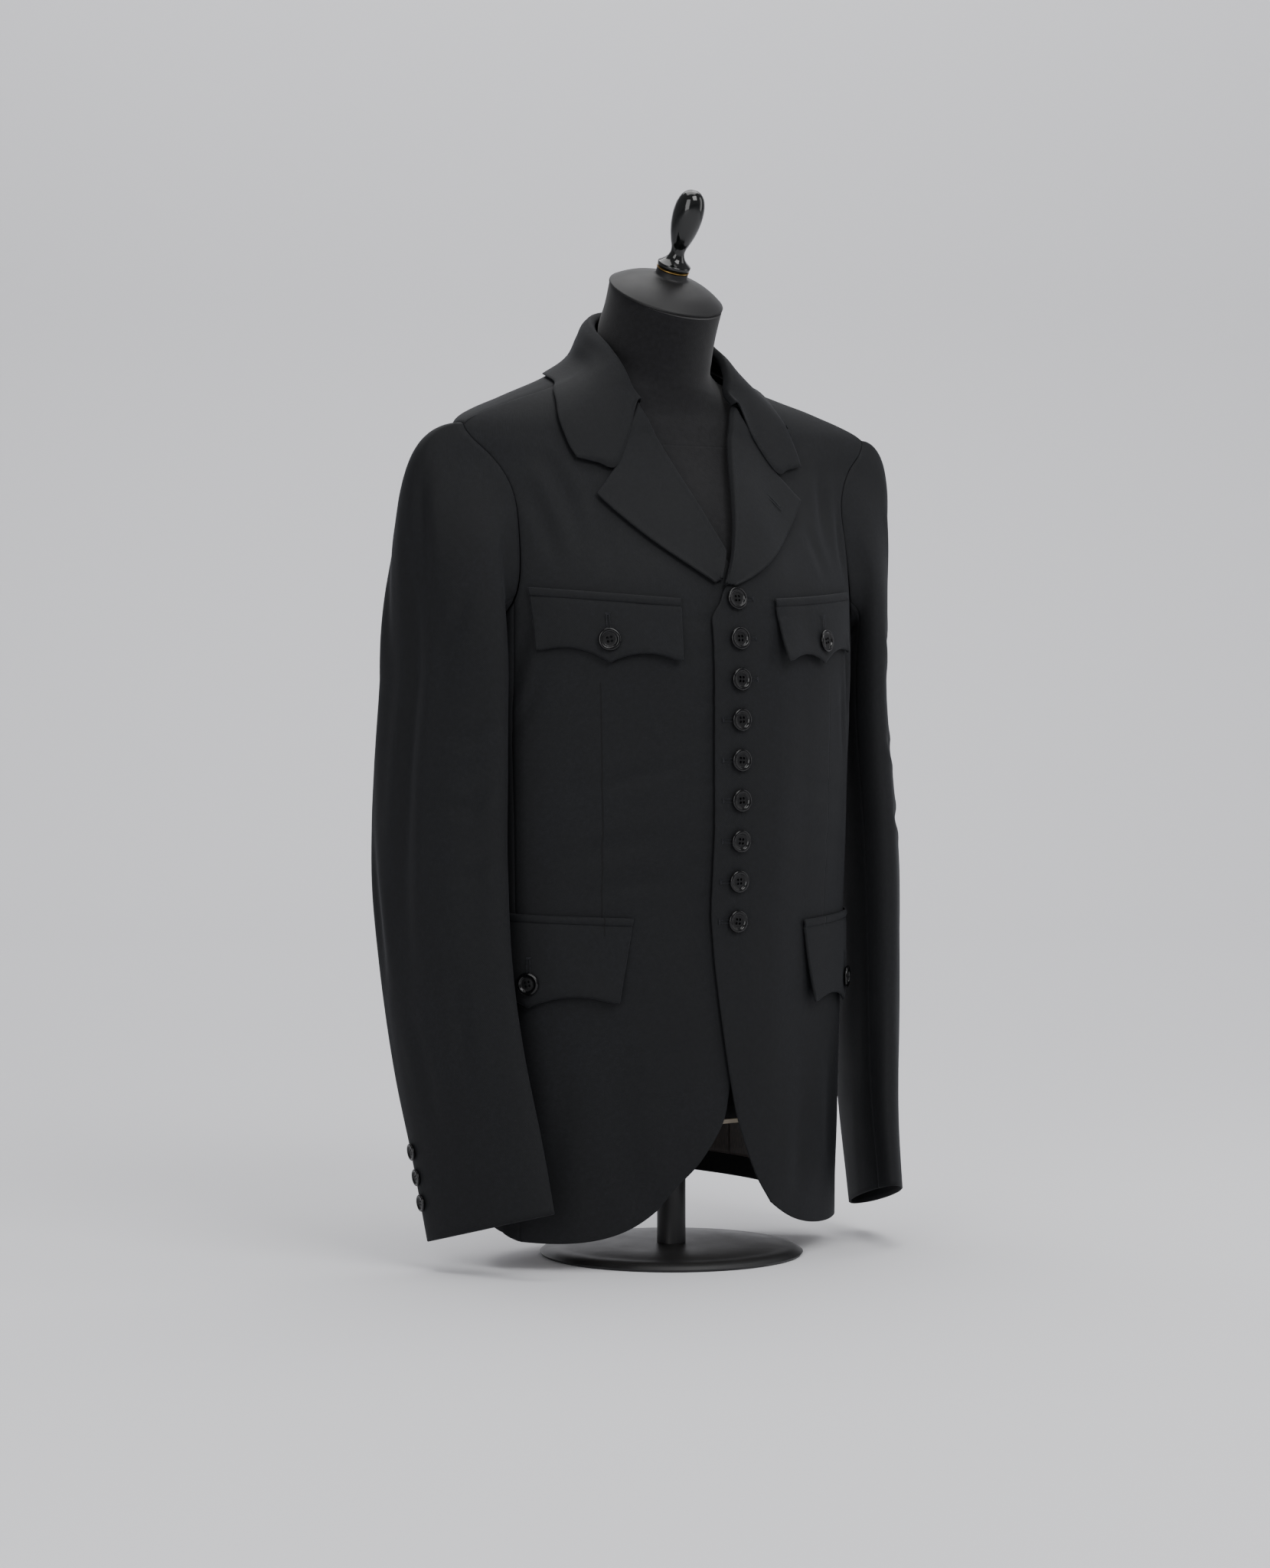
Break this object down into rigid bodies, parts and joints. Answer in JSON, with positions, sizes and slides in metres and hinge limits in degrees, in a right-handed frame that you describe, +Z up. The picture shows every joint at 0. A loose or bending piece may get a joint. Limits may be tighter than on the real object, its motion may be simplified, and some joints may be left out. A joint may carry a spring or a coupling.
{
  "type": "fitted jacket on a limbless dress form",
  "caption": "Slim single-breasted jacket with notched lapels, buttoned flap pockets and a cutaway hem, worn by a limbless dress form on a low round stand.",
  "frame": {"origin": "middle of the foot plate's underside, on the floor", "axes": "+Z up; the wearer faces -Y and the wearer's left is +X"},
  "size_m": [0.5014, 0.2389, 0.9223],
  "materials": {
    "black_wool_gabardine": "soft dull nap with a fine diagonal weave",
    "brown_black_lining": "smooth satin lining",
    "black_horn": "polished",
    "black_cotton_jersey": "dull fine knit",
    "pale_board": "bare board edge",
    "black_satin_lacquer": "satin black lacquer",
    "black_gloss_lacquer": "high gloss black lacquer",
    "brass": "satin",
    "black_painted_steel": "satin black paint"
  },
  "bodies": {
    "root": {"back_left": "black_wool_gabardine", "back_right": "black_wool_gabardine", "chest_flap_button_left": "black_horn", "chest_flap_button_right": "black_horn", "chest_flap_left": "black_wool_gabardine", "chest_flap_right": "black_wool_gabardine", "chest_pocket_strip_left": "black_wool_gabardine", "chest_pocket_strip_right": "black_wool_gabardine", "collar": "black_wool_gabardine", "cuff_button_left_1": "black_horn", "cuff_button_left_2": "black_horn", "cuff_button_left_3": "black_horn", "cuff_button_right_1": "black_horn", "cuff_button_right_2": "black_horn", "cuff_button_right_3": "black_horn", "finial": "black_gloss_lacquer", "finial_ring": "brass", "foot_plate": "black_painted_steel", "form_bottom_board": "pale_board", "form_torso": "black_cotton_jersey", "front_button_1": "black_horn", "front_button_2": "black_horn", "front_button_3": "black_horn", "front_button_4": "black_horn", "front_button_5": "black_horn", "front_button_6": "black_horn", "front_button_7": "black_horn", "front_button_8": "black_horn", "front_button_9": "black_horn", "front_left": "black_wool_gabardine", "front_right": "black_wool_gabardine", "lapel_left": "black_wool_gabardine", "lapel_right": "black_wool_gabardine", "lining_back": "brown_black_lining", "lining_side_left": "brown_black_lining", "lining_side_right": "brown_black_lining", "lower_flap_button_left": "black_horn", "lower_flap_button_right": "black_horn", "lower_flap_left": "black_wool_gabardine", "lower_flap_right": "black_wool_gabardine", "lower_pocket_strip_left": "black_wool_gabardine", "lower_pocket_strip_right": "black_wool_gabardine", "neck_cap": "black_satin_lacquer", "pole": "black_painted_steel", "side_left": "black_wool_gabardine", "side_right": "black_wool_gabardine", "sleeve_left_under": "black_wool_gabardine", "sleeve_left_upper": "black_wool_gabardine", "sleeve_right_under": "black_wool_gabardine", "sleeve_right_upper": "black_wool_gabardine"}
  },
  "joints": []
}
